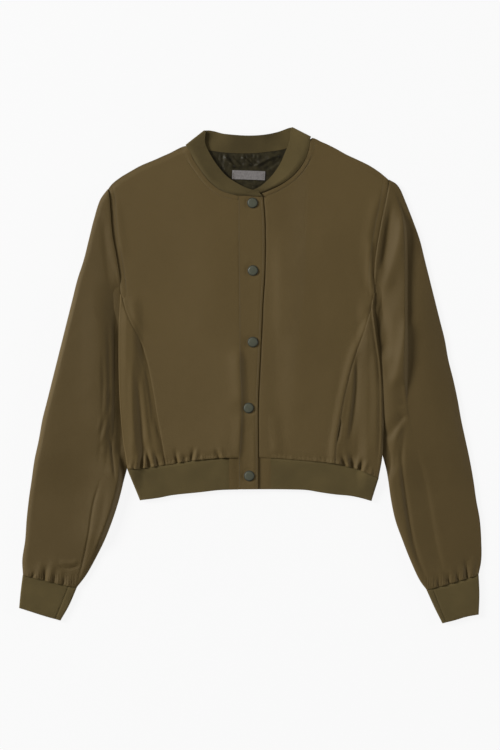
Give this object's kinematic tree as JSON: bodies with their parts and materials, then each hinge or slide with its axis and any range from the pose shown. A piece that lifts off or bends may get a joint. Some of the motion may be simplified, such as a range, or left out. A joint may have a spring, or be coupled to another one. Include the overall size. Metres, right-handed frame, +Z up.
{
  "type": "bomber jacket",
  "caption": "Cropped bomber jacket laid flat, with ribbed collar, cuffs and hem band, curved side panels and a press-stud front.",
  "frame": {"origin": "on the surface the jacket lies on, under the middle of its overall length and width", "axes": "+Y towards the collar, +Z up out of the front, +X towards the wearer's left"},
  "size_m": [0.6471, 0.6957, 0.0094],
  "materials": {
    "shell": "soft satin twill, olive brown",
    "rib": "fine ribbed knit, matt olive",
    "lining": "thin smooth lining, dark olive, creased",
    "label": "woven grey label, bare",
    "snap": "satin green-grey enamel"
  },
  "bodies": {
    "root": {"back": "shell", "front_right": "shell", "front_left": "shell", "side_right": "shell", "side_left": "shell", "placket": "shell", "hem_rib": "rib", "hem_tab_right": "shell", "hem_tab_left": "shell", "sleeve_right": "shell", "sleeve_left": "shell", "cuff_right": "rib", "cuff_left": "rib", "collar": "rib", "lining_back": "lining", "label": "label", "snap_1": "snap", "snap_2": "snap", "snap_3": "snap", "snap_4": "snap", "snap_5": "snap"}
  },
  "joints": []
}
